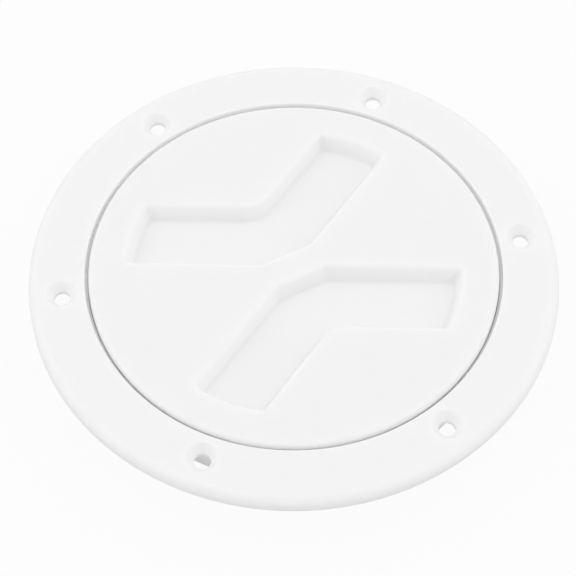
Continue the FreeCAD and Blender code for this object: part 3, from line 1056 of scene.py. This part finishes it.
class DECKPLATE_OT_studio(bpy.types.Operator):
    """Makes the floor, the soft light and the camera"""

    bl_idname = "deckplate.studio"
    bl_label = "Studio"

    def execute(self, context):
        studio = context.scene.deck_plate.studio
        scene = context.scene
        scene.view_settings.view_transform = "Standard"
        self.make_floor(scene, studio)
        self.make_world(scene, studio)
        self.make_lamps(scene, studio)
        self.make_camera(scene, studio)
        return {"FINISHED"}

    def make_floor(self, scene, studio):
        """A pale floor at the neck's foot, mostly plain white to the camera."""
        half = studio.floor_width / 2
        mesh = bpy.data.meshes.new("studio_floor")
        corners = raised(rectangle(half, half, 0), RING_LOW.z)
        mesh.from_pydata(corners.tolist(), [], [(0, 1, 2, 3)])
        floor = bpy.data.objects.new("studio_floor", mesh)
        scene.collection.objects.link(floor)
        material, nodes, links, shader = new_material("studio_floor_white")
        shader.inputs["Base Color"].default_value = (*studio.floor_colour, 1)
        shader.inputs["Roughness"].default_value = studio.floor_roughness
        shader.inputs["Specular IOR Level"].default_value = 0
        glow = nodes.new("ShaderNodeEmission")
        share = nodes.new("ShaderNodeMath")
        share.operation = "MULTIPLY"
        share.inputs[1].default_value = studio.floor_lift
        links.new(background_rays(nodes, links), share.inputs[0])
        mix = nodes.new("ShaderNodeMixShader")
        links.new(share.outputs["Value"], mix.inputs["Fac"])
        links.new(shader.outputs["BSDF"], mix.inputs[1])
        links.new(glow.outputs["Emission"], mix.inputs[2])
        output = next(node for node in nodes if node.type == "OUTPUT_MATERIAL")
        links.new(mix.outputs["Shader"], output.inputs["Surface"])
        mesh.materials.append(material)

    def make_world(self, scene, studio):
        """White to the camera, and an even light of the ambient strength to everything else."""
        world = bpy.data.worlds.new("studio_world")
        world.use_nodes = True
        nodes, links = world.node_tree.nodes, world.node_tree.links
        background = nodes["Background"]
        background.inputs["Color"].default_value = (1, 1, 1, 1)
        strength = nodes.new("ShaderNodeMapRange")
        strength.inputs["To Min"].default_value = studio.ambient
        strength.inputs["To Max"].default_value = 1
        links.new(background_rays(nodes, links), strength.inputs["Value"])
        links.new(strength.outputs["Result"], background.inputs["Strength"])
        scene.world = world

    def make_lamps(self, scene, studio):
        """Two large soft lamps, to the left and to the right of the view, that face the middle."""
        for name, side in (("left_lamp", 1), ("right_lamp", -1)):
            light = bpy.data.lights.new(name, "AREA")
            light.shape = "SQUARE"
            light.size = studio.lamp_size
            light.energy = studio.lamp_power
            lamp = bpy.data.objects.new(name, light)
            bearing = studio.view_bearing + math.pi + side * studio.lamp_bearing
            aim = (
                Matrix.Rotation(bearing, 4, "Z")
                @ Matrix.Rotation(math.pi / 2 - studio.lamp_elevation, 4, "X")
            )
            lamp.matrix_world = aim @ Matrix.Translation((0, 0, studio.lamp_distance))
            scene.collection.objects.link(lamp)

    def make_camera(self, scene, studio):
        """The photograph's view: from its target back along its bearing and elevation, then rolled."""
        data = bpy.data.cameras.new("camera")
        data.lens = studio.lens
        data.sensor_width = PICTURE_WIDTH
        camera = bpy.data.objects.new("camera", data)
        aim = (
            Matrix.Rotation(studio.view_bearing, 4, "Z")
            @ Matrix.Rotation(math.pi / 2 - studio.view_elevation, 4, "X")
            @ Matrix.Rotation(studio.view_roll, 4, "Z")
        )
        back = Matrix.Translation((0, 0, studio.view_distance))
        camera.matrix_world = Matrix.Translation(studio.view_target) @ aim @ back
        scene.collection.objects.link(camera)
        scene.camera = camera


class DECKPLATE_PT_panel(bpy.types.Panel):
    """The deck plate's tools and sizes"""

    bl_idname = "DECKPLATE_PT_panel"
    bl_label = "Deck Plate"
    bl_space_type = "VIEW_3D"
    bl_region_type = "UI"
    bl_category = "Deck Plate"

    def draw(self, context):
        settings = context.scene.deck_plate
        for operator in OPERATORS:
            self.layout.operator(operator.bl_idname)
        for name in SETTING_GROUPS:
            box = self.layout.box()
            box.label(text=name.capitalize())
            group = getattr(settings, name)
            for size in group.bl_rna.properties.keys():
                if size not in ("rna_type", "name"):
                    box.prop(group, size)


SETTING_GROUPS = ("ring", "thread", "lid", "recess", "seal", "finishes", "studio")
GROUP_CLASSES = (
    RingSizes, ThreadSizes, LidSizes, RecessSizes, SealSizes, Finishes, StudioSettings, DeckPlateSettings,
)
OPERATORS = (
    DECKPLATE_OT_mounting_ring,
    DECKPLATE_OT_screw_lid,
    DECKPLATE_OT_seal_ring,
    DECKPLATE_OT_studio,
)


def register():
    """Adds the tools, the panel and the settings."""
    for item in (*GROUP_CLASSES, *OPERATORS, DECKPLATE_PT_panel):
        bpy.utils.register_class(item)
    bpy.types.Scene.deck_plate = PointerProperty(type=DeckPlateSettings)


def unregister():
    """Takes the settings, the panel and the tools away again."""
    del bpy.types.Scene.deck_plate
    for item in reversed((*GROUP_CLASSES, *OPERATORS, DECKPLATE_PT_panel)):
        bpy.utils.unregister_class(item)


def main():
    """Registers the tools and makes every piece and the studio."""
    register()
    bpy.ops.deckplate.mounting_ring()
    bpy.ops.deckplate.screw_lid()
    bpy.ops.deckplate.seal_ring()
    bpy.ops.deckplate.studio()


if __name__ == "__main__":
    main()
